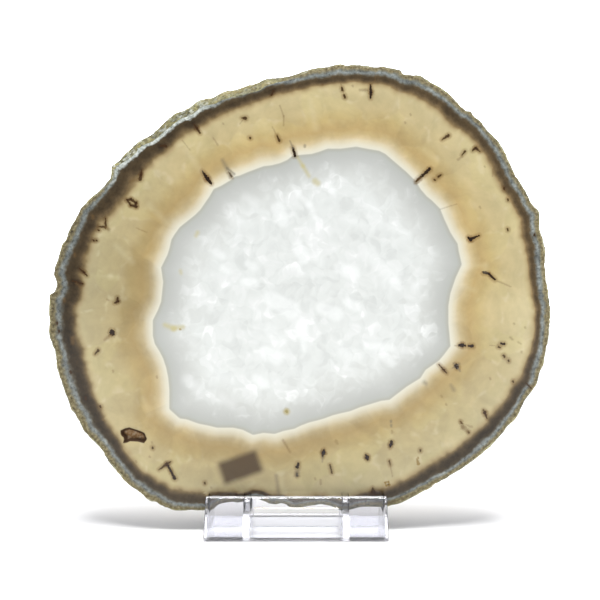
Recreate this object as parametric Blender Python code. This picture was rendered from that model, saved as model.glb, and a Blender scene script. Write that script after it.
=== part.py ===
# A large agate slice standing upright in a low clear moulded stand, with a small blank paper
# sticker on the back of the stone.
#
# Metres, +Z up. The stand's foot rests on z = 0, the polished front of the stone faces -Y,
# y = 0 is the middle of its thickness, and x = 0 is the middle of its width.
import math

import bmesh
import bpy
from mathutils import Matrix, Vector, noise

MM = 0.001
CLEARANCE = 0.3 * MM        # gap kept between neighbouring pieces

# The stone: one flat slice of a nodule, with its natural rough skin left on the rim.
STONE_THICKNESS = 9.0 * MM
STONE_FRONT_Y = -STONE_THICKNESS / 2
STONE_CENTRE_Z = 112.0 * MM  # height of the middle of the slice, for bearings round its rim
SPAN_STEPS = 2               # rim vertices for each point of the outline

# The stone's outline seen from the front, x and z in millimetres, clockwise from the small
# spur on its left. Each stretch is named for where it lies.
LEFT_SHOULDER = [
    (-122, 114), (-119.5, 116), (-118.5, 119.5), (-120, 125.5), (-118, 131), (-116, 137.5),
    (-113.5, 142.5), (-111.5, 148), (-109, 152), (-107, 156.5), (-103, 160), (-97.5, 165),
    (-94.5, 169.5), (-92.5, 172), (-91.5, 177), (-87.5, 181),
]
UPPER_LEFT = [
    (-82.5, 185), (-79, 189), (-73, 192), (-69.5, 195), (-65.5, 198.5), (-60, 202.5),
    (-55, 204.5), (-52.5, 206), (-49, 209), (-42, 210.5), (-38, 212.5), (-29, 214.5),
    (-26.5, 215.5), (-20.5, 217), (-17, 219),
]
CROWN = [
    (-10.5, 220.5), (-3, 222), (5.5, 224.5), (11, 225), (18, 226.5), (23, 226), (26.5, 226.5),
    (35.5, 225.5), (40, 226), (45.5, 224.5), (49, 224), (50.5, 222), (56.5, 221.5), (61, 219.5),
]
UPPER_RIGHT = [
    (67, 216), (73.5, 211.5), (80.5, 204.5), (83.5, 204), (85, 201.5), (88, 199), (92, 194),
    (98, 186.5), (102, 179), (105, 173), (110, 165), (113, 159), (116.5, 154),
]
RIGHT_FLANK = [
    (117, 146), (118.5, 141), (119.5, 134), (120, 124), (121, 115), (122, 108), (122, 102.5),
    (121.5, 94.5), (120, 86), (117.5, 78), (116, 72), (113.5, 68), (110.5, 63.5), (109, 60.5),
    (105.5, 55), (101, 49.5),
]
LOWER_RIGHT = [
    (98, 45.5), (93.5, 41.5), (89.5, 38), (84.5, 33.5), (78.5, 29.5), (72.5, 25.5), (65.5, 22),
    (64, 20.5), (58.5, 18), (56.5, 16.5), (51.5, 14), (48, 12.5),
]
FOOT_LOBES = [
    (41.5, 11), (32.5, 11), (28, 10.5), (24.5, 9.5), (20, 9.2), (15.5, 11), (10.5, 12),
    (5, 11.5), (-3, 10.2), (-8, 12.5), (-13.5, 12), (-17, 13.5), (-21, 15), (-24.5, 14),
    (-30, 13), (-33, 13.5), (-39, 12), (-42.5, 9.6), (-46.5, 9.2), (-55, 9.2), (-61.5, 9.5),
]
LOWER_LEFT = [
    (-68, 12), (-70, 13.5), (-73, 14), (-78, 18), (-82.5, 21), (-88, 27.5), (-94.5, 35),
    (-95.5, 37.5), (-98.5, 41.5), (-104, 46.5), (-106, 49.5), (-107.5, 53), (-111.5, 59.5),
]
LEFT_FLANK = [
    (-114.5, 67), (-117, 74.5), (-118.5, 81.5), (-118.5, 85), (-121, 91.5), (-122, 96),
    (-121.5, 101), (-122, 105.5), (-121.5, 111),
]
STONE_OUTLINE = (LEFT_SHOULDER + UPPER_LEFT + CROWN + UPPER_RIGHT + RIGHT_FLANK + LOWER_RIGHT
                 + FOOT_LOBES + LOWER_LEFT + LEFT_FLANK)

# Section through the rim, front to back, in millimetres: depth behind the polished face, how
# far the skin stands out from the outline on most of the rim, and the same on the upper left,
# where the nodule was still widening towards the back when it was sawn.
RIM_SECTION = [
    (0.0, -1.4, -3.9),
    (0.8, -0.6, -2.8),
    (2.2, 0.0, -1.3),
    (3.9, 0.1, 0.0),
    (5.6, -0.2, 0.9),
    (7.5, -0.7, 1.4),
    (9.0, -1.8, 0.8),
]
FLARE_FROM = 92.0            # bearings in degrees, anticlockwise from +X, of the flared stretch
FLARE_TO = 146.0
FLARE_FADE = 9.0             # degrees over which the flare grows and fades
KNOB_SIZE = 7.0 * MM         # spacing and height of the skin's knobs
KNOB_HEIGHT = 0.75 * MM
GRAIN_SIZE = 2.6 * MM        # spacing and height of the smaller lumps on them
GRAIN_HEIGHT = 0.3 * MM
EDGE_ROUGHNESS = 0.45        # share of that relief left at the two sawn edges
FOOT_TOP_Z = 16.0 * MM       # below this the rim sits in the stand, and its relief only cuts in

# The open pocket low on the left of the polished face, x and z in millimetres.
POCKET_OUTLINE = [
    (-86.5, 48.5), (-84.5, 49.5), (-82.5, 50), (-80, 49.2), (-77, 48.2), (-75.3, 47.4),
    (-74, 44.6), (-75.3, 42.6), (-78, 43.4), (-82, 43.6), (-85.4, 42.2), (-84.6, 45),
    (-86.4, 46.5),
]
POCKET_DEPTH = 2.4 * MM
POCKET_FLOOR_SCALE = 0.8

# The stand: two walls that lean in, tied by a thin base, two end walls and two inner ribs.
# A slot runs through the ribs and the end walls, and the stone stands in it.
STAND_X = -1.6 * MM
STAND_LENGTH = 86.0 * MM
STAND_FOOT_DEPTH = 40.0 * MM
STAND_TOP_DEPTH = 26.4 * MM
STAND_HEIGHT = 18.6 * MM
STAND_EDGE_RADIUS = 1.2 * MM
WALL = 2.2 * MM
BASE = 1.2 * MM
RIB = 3.0 * MM
RIB_CENTRE = 23.5 * MM
RIB_TOP_Z = 15.5 * MM         # ribs and end walls stop short of the tops of the two long walls
WINDOW_SILL_Z = 1.6 * MM
WINDOW_HEAD_Z = 13.7 * MM
WINDOW_SILL_LENGTH = 44.2 * MM
WINDOW_HEAD_LENGTH = 39.8 * MM
SLOT_WIDTH = STONE_THICKNESS + 2 * CLEARANCE
SLOT_FLOOR_Z = 8.7 * MM
GROOVE_WIDTH = 0.8 * MM      # the moulding line along the middle of the base
GROOVE_DEPTH = 0.4 * MM
CUT_OVERRUN = 2.0 * MM       # how far a cutter runs past the face it opens

# The sticker on the back.
LABEL_LENGTH = 20.5 * MM
LABEL_HEIGHT = 11.6 * MM
LABEL_THICKNESS = 0.2 * MM
LABEL_CORNER = 0.8 * MM
LABEL_X = -29.0 * MM
LABEL_Z = 29.9 * MM
LABEL_TILT = 19.2            # degrees, right end up as seen from the front


def clear_scene():
    for old in list(bpy.data.objects):
        bpy.data.objects.remove(old, do_unlink=True)


def new_collection(name):
    collection = bpy.data.collections.new(name)
    bpy.context.scene.collection.children.link(collection)
    return collection


def new_material(name, colour, roughness):
    material = bpy.data.materials.new(name)
    material.use_nodes = True
    shader = material.node_tree.nodes["Principled BSDF"]
    shader.inputs["Base Color"].default_value = (*colour, 1.0)
    shader.inputs["Roughness"].default_value = roughness
    shader.inputs["Metallic"].default_value = 0.0
    return material


def new_object(name, bm, collection):
    bmesh.ops.recalc_face_normals(bm, faces=bm.faces)
    mesh = bpy.data.meshes.new(name)
    bm.to_mesh(mesh)
    bm.free()
    made = bpy.data.objects.new(name, mesh)
    collection.objects.link(made)
    return made


def as_cutter(made):
    made.hide_render = True
    made.display_type = "WIRE"
    return made


def subtract(body, cutter):
    cut = body.modifiers.new("Cut " + cutter.name, "BOOLEAN")
    cut.operation = "DIFFERENCE"
    cut.solver = "EXACT"
    cut.object = cutter


def smooth_step(low, high, value):
    t = min(max((value - low) / (high - low), 0.0), 1.0)
    return t * t * (3.0 - 2.0 * t)


def closed_spline(points, steps):
    # Catmull-Rom curve through the points, closed on itself, as a list of 2D vectors.
    corners = [Vector(point) for point in points]
    count = len(corners)
    curve = []
    for i in range(count):
        before, start = corners[i - 1], corners[i]
        end, after = corners[(i + 1) % count], corners[(i + 2) % count]
        for step in range(steps):
            t = step / steps
            curve.append(0.5 * (2 * start + (end - before) * t
                                + (2 * before - 5 * start + 4 * end - after) * t ** 2
                                + (3 * start - before - 3 * end + after) * t ** 3))
    return curve


def outward_directions(curve, reach):
    # Unit vectors that point out of a clockwise curve, evened out over its neighbours.
    count = len(curve)
    directions = []
    for i in range(count):
        along = curve[(i + reach) % count] - curve[i - reach]
        directions.append(Vector((-along.y, along.x)).normalized())
    return directions


def flare_weight(point):
    bearing = math.degrees(math.atan2(point.y - STONE_CENTRE_Z, point.x)) % 360.0
    rising = smooth_step(FLARE_FROM - FLARE_FADE, FLARE_FROM + FLARE_FADE, bearing)
    falling = smooth_step(FLARE_TO - FLARE_FADE, FLARE_TO + FLARE_FADE, bearing)
    return rising - falling


def skin_relief(place):
    knobs = noise.noise(place / KNOB_SIZE) * KNOB_HEIGHT
    grain = noise.noise(place / GRAIN_SIZE) * GRAIN_HEIGHT
    return knobs + grain


def rim_ring(curve, directions, depth, plain_offset, flared_offset):
    y = STONE_FRONT_Y + depth
    at_edge = depth in (0.0, STONE_THICKNESS)
    ring = []
    for point, outward in zip(curve, directions):
        flared = flare_weight(point)
        offset = plain_offset * (1.0 - flared) + flared_offset * flared
        relief = skin_relief(Vector((point.x, y, point.y)))
        if at_edge:
            relief *= EDGE_ROUGHNESS
        if point.y < FOOT_TOP_Z:
            relief = min(relief, 0.0)
        place = point + outward * (offset + relief)
        ring.append(Vector((place.x, y, place.y)))
    return ring


def stone_mesh():
    curve = [point * MM for point in closed_spline(STONE_OUTLINE, SPAN_STEPS)]
    directions = outward_directions(curve, reach=3)
    rings = [rim_ring(curve, directions, depth * MM, plain * MM, flared * MM)
             for depth, plain, flared in RIM_SECTION]
    reach = [place.x for ring in rings for place in ring]
    shift = Vector(((max(reach) + min(reach)) / 2, 0.0, 0.0))

    bm = bmesh.new()
    loops = [[bm.verts.new(place - shift) for place in ring] for ring in rings]
    for front, back in zip(loops, loops[1:]):
        for i in range(len(front)):
            bm.faces.new((front[i - 1], front[i], back[i], back[i - 1]))
    bm.faces.new(loops[0])
    bm.faces.new(reversed(loops[-1]))
    return bm


def pocket_mesh():
    mouth = [Vector((x * MM, STONE_FRONT_Y, z * MM)) for x, z in POCKET_OUTLINE]
    centre = sum(mouth, Vector()) / len(mouth)
    spread = (1.0 - POCKET_FLOOR_SCALE) * CUT_OVERRUN / POCKET_DEPTH
    bm = bmesh.new()
    rings = []
    for depth, scale in ((-CUT_OVERRUN, 1.0 + spread), (POCKET_DEPTH, POCKET_FLOOR_SCALE)):
        ring = []
        for place in mouth:
            corner = centre + (place - centre) * scale
            ring.append(bm.verts.new((corner.x, STONE_FRONT_Y + depth, corner.z)))
        rings.append(ring)
    outer, floor = rings
    for i in range(len(outer)):
        bm.faces.new((outer[i - 1], outer[i], floor[i], floor[i - 1]))
    bm.faces.new(outer)
    bm.faces.new(reversed(floor))
    return bm


def tapered_box(low_size, high_size, z_low, z_high, x_centre=0.0):
    # A box whose length and depth, given as (x, y), change evenly from its foot to its top.
    bm = bmesh.new()
    bmesh.ops.create_cube(bm, size=1.0)
    for vertex in bm.verts:
        at_top = vertex.co.z > 0.0
        length, depth = high_size if at_top else low_size
        z = z_high if at_top else z_low
        vertex.co = Vector((x_centre + vertex.co.x * length, vertex.co.y * depth, z))
    return bm


def wall_lean():
    return (STAND_FOOT_DEPTH - STAND_TOP_DEPTH) / 2 / STAND_HEIGHT


def space_between_walls(z):
    across_wall = WALL * math.sqrt(1.0 + wall_lean() ** 2)
    return STAND_FOOT_DEPTH - 2 * (wall_lean() * z + across_wall)


def build_stone(parts, cutters):
    stone = new_object("agate_slice", stone_mesh(), parts)
    pocket = as_cutter(new_object("Pocket", pocket_mesh(), cutters))
    subtract(stone, pocket)
    stone.data.materials.append(new_material("Agate", (0.60, 0.52, 0.33), 0.15))
    return stone


def build_stand(parts, cutters):
    body = tapered_box((STAND_LENGTH, STAND_FOOT_DEPTH), (STAND_LENGTH, STAND_TOP_DEPTH),
                       0.0, STAND_HEIGHT)
    above_foot = [edge for edge in body.edges if max(v.co.z for v in edge.verts) > 0.0]
    bmesh.ops.bevel(body, geom=above_foot, offset=STAND_EDGE_RADIUS, segments=2, profile=0.5,
                    affect="EDGES")
    stand = new_object("display_stand", body, parts)
    stand.location.x = STAND_X

    rib_inside = RIB_CENTRE - RIB / 2
    rib_outside = RIB_CENTRE + RIB / 2
    end_inside = STAND_LENGTH / 2 - WALL
    bays = {
        "Left bay": (-end_inside, -rib_outside),
        "Middle bay": (-rib_inside, rib_inside),
        "Right bay": (rib_outside, end_inside),
    }
    top = STAND_HEIGHT + CUT_OVERRUN
    tools = []
    for name, (left, right) in bays.items():
        length = right - left
        middle = (left + right) / 2
        bay = tapered_box((length, space_between_walls(BASE)), (length, space_between_walls(top)),
                          BASE, top, middle)
        tools.append(new_object(name, bay, cutters))
        groove = tapered_box((length - RIB, GROOVE_WIDTH), (length - RIB, GROOVE_WIDTH),
                             BASE - GROOVE_DEPTH, BASE + GROOVE_DEPTH, middle)
        tools.append(new_object(name + " groove", groove, cutters))

    through = STAND_FOOT_DEPTH + 2 * CUT_OVERRUN
    window = tapered_box((WINDOW_SILL_LENGTH, through), (WINDOW_HEAD_LENGTH, through),
                         WINDOW_SILL_Z, WINDOW_HEAD_Z)
    tools.append(new_object("Window", window, cutters))

    end_to_end = STAND_LENGTH + 2 * CUT_OVERRUN
    trough = tapered_box((end_to_end, space_between_walls(RIB_TOP_Z)),
                         (end_to_end, space_between_walls(top)), RIB_TOP_Z, top)
    tools.append(new_object("Trough", trough, cutters))
    slot = tapered_box((end_to_end, SLOT_WIDTH), (end_to_end, SLOT_WIDTH), SLOT_FLOOR_Z, top)
    tools.append(new_object("Stone slot", slot, cutters))

    for tool in tools:
        tool.location.x = STAND_X
        subtract(stand, as_cutter(tool))
    stand.data.materials.append(new_material("Clear plastic", (0.88, 0.90, 0.92), 0.05))
    return stand


def build_label(parts):
    label = tapered_box((LABEL_LENGTH, LABEL_THICKNESS), (LABEL_LENGTH, LABEL_THICKNESS),
                        -LABEL_HEIGHT / 2, LABEL_HEIGHT / 2)
    corners = [edge for edge in label.edges
               if abs(edge.verts[0].co.y - edge.verts[1].co.y) > LABEL_THICKNESS / 2]
    bmesh.ops.bevel(label, geom=corners, offset=LABEL_CORNER, segments=2, profile=0.5,
                    affect="EDGES")
    sticker = new_object("back_label", label, parts)
    behind_stone = STONE_THICKNESS / 2 + CLEARANCE + LABEL_THICKNESS / 2
    tilt = Matrix.Rotation(math.radians(-LABEL_TILT), 4, "Y")
    sticker.matrix_world = Matrix.Translation((LABEL_X, behind_stone, LABEL_Z)) @ tilt
    sticker.data.materials.append(new_material("Label paper", (0.85, 0.84, 0.80), 0.7))
    return sticker


def main():
    clear_scene()
    parts = new_collection("Agate slice on stand")
    cutters = new_collection("Cutters")
    build_stone(parts, cutters)
    build_stand(parts, cutters)
    build_label(parts)


main()
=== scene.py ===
import math
from functools import partial

import bmesh
import bpy
import numpy as np
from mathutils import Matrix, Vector, noise


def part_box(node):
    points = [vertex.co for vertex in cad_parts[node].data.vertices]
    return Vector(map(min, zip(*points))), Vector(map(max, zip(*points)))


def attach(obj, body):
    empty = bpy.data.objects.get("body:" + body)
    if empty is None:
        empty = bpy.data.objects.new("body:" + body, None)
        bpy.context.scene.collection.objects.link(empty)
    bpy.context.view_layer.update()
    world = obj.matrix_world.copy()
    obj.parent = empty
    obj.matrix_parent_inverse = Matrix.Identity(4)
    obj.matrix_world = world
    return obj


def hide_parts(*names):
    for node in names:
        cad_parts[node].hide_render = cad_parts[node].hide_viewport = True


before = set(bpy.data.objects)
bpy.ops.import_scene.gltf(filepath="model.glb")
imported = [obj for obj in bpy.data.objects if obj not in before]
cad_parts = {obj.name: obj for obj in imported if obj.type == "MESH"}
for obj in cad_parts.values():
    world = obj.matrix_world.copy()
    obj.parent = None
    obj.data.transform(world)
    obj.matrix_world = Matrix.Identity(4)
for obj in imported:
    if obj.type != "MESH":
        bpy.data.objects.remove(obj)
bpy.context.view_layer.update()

mm = 0.001

# The stone's outline from the front, x and z in mm, clockwise from the small spur on its left.
stoneOutline = [
    (-122, 114), (-119.5, 116), (-118.5, 119.5), (-120, 125.5), (-118, 131), (-116, 137.5),
    (-113.5, 142.5), (-111.5, 148), (-109, 152), (-107, 156.5), (-103, 160), (-97.5, 165),
    (-94.5, 169.5), (-92.5, 172), (-91.5, 177), (-87.5, 181),                       # left shoulder
    (-82.5, 185), (-79, 189), (-73, 192), (-69.5, 195), (-65.5, 198.5), (-60, 202.5),
    (-55, 204.5), (-52.5, 206), (-49, 209), (-42, 210.5), (-38, 212.5), (-29, 214.5),
    (-26.5, 215.5), (-20.5, 217), (-17, 219),                                       # upper left
    (-10.5, 220.5), (-3, 222), (5.5, 224.5), (11, 225), (18, 226.5), (23, 226), (26.5, 226.5),
    (35.5, 225.5), (40, 226), (45.5, 224.5), (49, 224), (50.5, 222), (56.5, 221.5),
    (61, 219.5),                                                                    # crown
    (67, 216), (73.5, 211.5), (80.5, 204.5), (83.5, 204), (85, 201.5), (88, 199), (92, 194),
    (98, 186.5), (102, 179), (105, 173), (110, 165), (113, 159), (116.5, 154),      # upper right
    (117, 146), (118.5, 141), (119.5, 134), (120, 124), (121, 115), (122, 108), (122, 102.5),
    (121.5, 94.5), (120, 86), (117.5, 78), (116, 72), (113.5, 68), (110.5, 63.5), (109, 60.5),
    (105.5, 55), (101, 49.5),                                                       # right flank
    (98, 45.5), (93.5, 41.5), (89.5, 38), (84.5, 33.5), (78.5, 29.5), (72.5, 25.5), (65.5, 22),
    (64, 20.5), (58.5, 18), (56.5, 16.5), (51.5, 14), (48, 12.5),                   # lower right
    (41.5, 11), (32.5, 11), (28, 10.5), (24.5, 9.5), (20, 9.2), (15.5, 11), (10.5, 12),
    (5, 11.5), (-3, 10.2), (-8, 12.5), (-13.5, 12), (-17, 13.5), (-21, 15), (-24.5, 14),
    (-30, 13), (-33, 13.5), (-39, 12), (-42.5, 9.6), (-46.5, 9.2), (-55, 9.2), (-61.5, 9.5),
    (-68, 12), (-70, 13.5), (-73, 14), (-78, 18), (-82.5, 21), (-88, 27.5), (-94.5, 35),
    (-95.5, 37.5), (-98.5, 41.5), (-104, 46.5), (-106, 49.5), (-107.5, 53), (-111.5, 59.5),
    (-114.5, 67), (-117, 74.5), (-118.5, 81.5), (-118.5, 85), (-121, 91.5), (-122, 96),
    (-121.5, 101), (-122, 105.5), (-121.5, 111),                                    # left flank
]

# The edge of the quartz core, in the same way from the top. It bulges inwards between its points.
quartzOutline = [
    (0.5, 182), (6, 182.5), (9.5, 183.5), (13.5, 185), (20, 185), (27.5, 186), (32.5, 185),
    (38.5, 184), (41.5, 182.5), (45, 179.5), (48.5, 176.5), (52, 173.5), (56.5, 169),
    (58.5, 165.5), (61.5, 162), (64, 160), (68, 156), (70, 151), (73, 144.5), (76.5, 139),
    (77, 135.5), (78.5, 129), (75.5, 122.5), (73, 115), (72, 109), (72, 100.5), (72.5, 95.5),
    (73, 89.5), (70, 85.5), (67.5, 82.5), (61, 78), (58.5, 74), (52, 70), (43.5, 63.5),
    (39.5, 63), (34.5, 61.5), (29.5, 60), (24.5, 58), (20, 57), (16, 56), (12, 54.5),
    (8.5, 53.5), (4.5, 52.5), (0.5, 51), (-2.5, 49.5), (-7.5, 48.5), (-12, 47), (-17.5, 47.5),
    (-22.5, 46.5), (-27.5, 49), (-32, 50), (-36, 50), (-40, 50), (-44, 51), (-49, 52),
    (-54.5, 54), (-58, 54.5), (-63, 59), (-63, 63), (-63, 68), (-63.5, 74), (-64.5, 79),
    (-66, 83.5), (-67.5, 86.5), (-70, 90.5), (-71, 94.5), (-71, 98.5), (-71, 102),
    (-68.5, 107), (-67, 111), (-66.5, 115.5), (-66, 120.5), (-66.5, 124), (-67, 127.5),
    (-65.5, 130.5), (-64, 133.5), (-63, 136.5), (-62, 141), (-60.5, 143.5), (-58, 147),
    (-53, 151), (-50.5, 153), (-48, 155.5), (-43.5, 162), (-41.5, 165.5), (-38, 167),
    (-33, 170), (-31.5, 171.5), (-29, 172), (-25.5, 173.5), (-21.5, 175), (-17.5, 176.5),
    (-13.5, 177), (-9.5, 178), (-6, 179.5), (-3.5, 181.5),
]

pocketOutline = [                       # the open pocket low on the left of the polished face
    (-86.5, 48.5), (-84.5, 49.5), (-82.5, 50), (-80, 49.2), (-77, 48.2), (-75.3, 47.4),
    (-74, 44.6), (-75.3, 42.6), (-78, 43.4), (-82, 43.6), (-85.4, 42.2), (-84.6, 45),
    (-86.4, 46.5),
]

stone = {
    "thickness": 9.0,                   # mm, as the slab was sawn
    "middle": (0.0, 112.0),             # x and z that bearings are taken from
    "heart": (3.0, 117.0),              # x and z in the core that the face mesh runs in to
    "stepsRound": 640,                  # vertices round the rim
    "stepsBetween": 12,                 # steps of the curve between two points of the outline
    "outwardReach": 7,                  # vertices to each side that give the way outwards
    "quartzSteps": 1600,                # steps that the quartz edge is read at
    "footTop": 16.0,                    # below this height the stone sits in its stand
    # depth behind the face, how far the skin stands out on most of the rim, and on the upper left
    "rimSection": [(0, -1.4, -3.9), (0.8, -0.6, -2.8), (2.2, 0, -1.3), (3.9, 0.1, 0),
                   (5.6, -0.2, 0.9), (7.5, -0.7, 1.4), (9, -1.8, 0.8)],
    "rimDepths": [0, 0.3, 0.75, 1.3, 1.9, 2.6, 3.3, 4.0, 4.7, 5.4, 6.1, 6.8, 7.5, 8.2, 8.7, 9],
    "flare": (92.0, 146.0, 9.0),        # bearings where the rim flares, and the fade in degrees
    # size and height of the skin's knobs, lumps, crumbs and grit
    "relief": [(7.0, 0.75), (2.6, 0.3), (1.4, 0.26), (0.8, 0.16)],
    "sawnShare": 0.45,                  # share of the relief left at the two sawn edges
    # rings of the sawn faces: mm from rim to quartz and from quartz to heart, then for each of these
    # two how far every stretch of it reaches, and the step along that stretch
    "faceWays": (45, 70),
    "frontRings": ([(17, 0.55), (41, 1.05), (45, 0.6)], [(4, 0.7), (66.5, 1.75)]),
    "backRings": ([(16, 1.4), (45, 2.6)], [(64, 6)]),
    "frostIn": (110, 120), "frostOut": (143, 152),     # bearings where the frosting sets in and ends
    "fourthBand": 8.0,                  # mm of amber inside the dark band that count as a fourth
    "pocketDepth": 2.3,
    "pocketSide": (0.15, -1.3),         # mm outside and inside its outline that its side falls over
    "pocketLumps": (1.8, 0.5),          # their size and height
}

# Widths of the bands from the outline inwards, in mm: bearing, skin, blue-grey, dark.
bandWidths = [
    (1, 2.7, 5.6, 8.2), (10, 2.9, 5.8, 9.8), (22.6, 3, 5.3, 9.8), (33, 2.7, 5.2, 9.2),
    (41.7, 2.5, 4.6, 9), (49, 2.7, 4.8, 10.8), (57, 3.2, 5.6, 10.6), (66, 3.2, 5.9, 10.2),
    (72.7, 2.8, 5.3, 9.2), (81, 3.2, 6.1, 9.8), (90, 3.3, 5.6, 9.4), (97.6, 2.9, 4.4, 9.2),
    (106, 2.8, 4.4, 9.4), (116.5, 3.7, 5.8, 11.4), (125, 3.2, 5.4, 11.9), (135.7, 3.5, 5.7, 12.8),
    (145, 2.7, 4.3, 13.2), (151.6, 2.5, 4.3, 12.8), (157, 2.6, 5.6, 12.6), (162, 3.8, 6.8, 12.6),
    (169, 3.3, 6.8, 14), (183.5, 3.7, 6.6, 13.2), (187.5, 4, 7.2, 14.6), (192, 3.1, 6.2, 14.2),
    (196, 3.4, 6.8, 15.2), (199.5, 3.5, 7, 14.5), (205, 4.2, 7, 14), (209, 3.9, 7.1, 13),
    (216, 3.6, 6, 10.6), (224, 3.5, 5.7, 10.2), (233, 3.4, 6, 10.4), (239, 3, 5.1, 10.4),
    (246, 2.6, 4.3, 9.7), (252, 2.4, 3.3, 5.2), (282, 2.4, 3.3, 5.2), (292.4, 3.4, 4.9, 10.2),
    (301, 3.2, 4.7, 10), (310, 2.7, 4.4, 10.8), (320.5, 2.5, 5.1, 10.6), (328, 2.9, 5.2, 10.8),
    (336.4, 3, 4.9, 9.8), (344, 2.8, 5.5, 9), (348, 2.8, 5.3, 8.5), (355.5, 3.5, 5.5, 8),
]
# How bright the amber is round the stone, as a share of its brightest side.
amberTone = [(0, 0.97), (30, 0.95), (60, 0.95), (90, 1.0), (120, 0.93), (150, 0.83), (168, 0.71),
             (185, 0.77), (200, 0.84), (220, 0.88), (240, 0.78), (270, 0.79), (290, 0.81), (325, 0.84),
             (345, 0.91)]
# The same for the dark band.
darkTone = [(0, 1.2), (20, 1.15), (35, 1.05), (50, 0.92), (60, 1.05), (75, 0.97), (90, 0.95),
            (120, 0.72), (150, 0.76), (170, 0.7), (190, 0.4), (200, 0.5), (212, 0.44), (225, 0.6),
            (245, 0.66), (300, 0.6), (320, 0.46), (335, 0.52), (347, 0.9)]


# Outlines, distances and bearings, all in mm.
batch = 4000                            # places measured at a time, to spare memory


def closedSpline(points, steps):
    corners = np.array(points, float)
    before, end, after = np.roll(corners, 1, 0), np.roll(corners, -1, 0), np.roll(corners, -2, 0)
    t = (np.arange(steps) / steps)[None, :, None]
    start, before, end, after = (a[:, None, :] for a in (corners, before, end, after))
    curve = 0.5 * (2 * start + (end - before) * t
                   + (2 * before - 5 * start + 4 * end - after) * t ** 2
                   + (3 * start - before - 3 * end + after) * t ** 3)
    return curve.reshape(-1, 2)


def evenSteps(curve, count):
    loop = np.vstack([curve, curve[:1]])
    run = np.concatenate([[0], np.cumsum(np.hypot(*np.diff(loop, axis=0).T))])
    at = np.linspace(0, run[-1], count, endpoint=False)
    return np.stack([np.interp(at, run, loop[:, k]) for k in (0, 1)], 1)


def outwardOf(curve, reach):
    along = np.roll(curve, -reach, 0) - np.roll(curve, reach, 0)
    across = np.stack([-along[:, 1], along[:, 0]], 1)
    return across / np.linalg.norm(across, axis=1)[:, None]


def bearingOf(places, middle):
    return np.degrees(np.arctan2(places[:, 1] - middle[1], places[:, 0] - middle[0])) % 360


def signedDistance(places, outline):
    # Distance to a closed outline, positive outside it, and the nearest point on it.
    start = np.array(outline, float)
    span = np.roll(start, -1, 0) - start
    length2 = (span ** 2).sum(1)
    away, near = np.empty(len(places)), np.empty((len(places), 2))
    for first in range(0, len(places), batch):
        spot = places[first:first + batch, None, :]
        share = np.clip(((spot - start) * span).sum(2) / length2, 0, 1)
        foot = start + share[..., None] * span
        gap = np.linalg.norm(spot - foot, axis=2)
        best = gap.argmin(1)
        rows = np.arange(len(best))
        crosses = (start[:, 1] > spot[..., 1]) != (np.roll(start, -1, 0)[:, 1] > spot[..., 1])
        rise = np.where(span[:, 1] == 0, 1e-9, span[:, 1])
        crossX = start[:, 0] + (spot[..., 1] - start[:, 1]) / rise * span[:, 0]
        inside = (crosses & (spot[..., 0] < crossX)).sum(1) % 2 == 1
        away[first:first + batch] = np.where(inside, -1, 1) * gap[rows, best]
        near[first:first + batch] = foot[rows, best]
    return away, near


def roundTheStone(bearings, table, column=1):
    # Reads a value of a table by bearing, joined up across 0 degrees.
    angles = np.array([row[0] for row in table], float)
    values = np.array([row[column] for row in table], float)
    angles = np.concatenate([angles - 360, angles, angles + 360])
    return np.interp(bearings, angles, np.tile(values, 3))


def easeBetween(low, high, value):
    t = np.clip((value - low) / (high - low), 0, 1)
    return t * t * (3 - 2 * t)


def noiseAt(places, size, seed=0.0):
    return np.array([noise.noise(Vector((x, y, z)) / size + Vector((seed, 0, 0)))
                     for x, y, z in places])


outlineCurve = evenSteps(closedSpline(stoneOutline, stone["stepsBetween"]), stone["stepsRound"])


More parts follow.
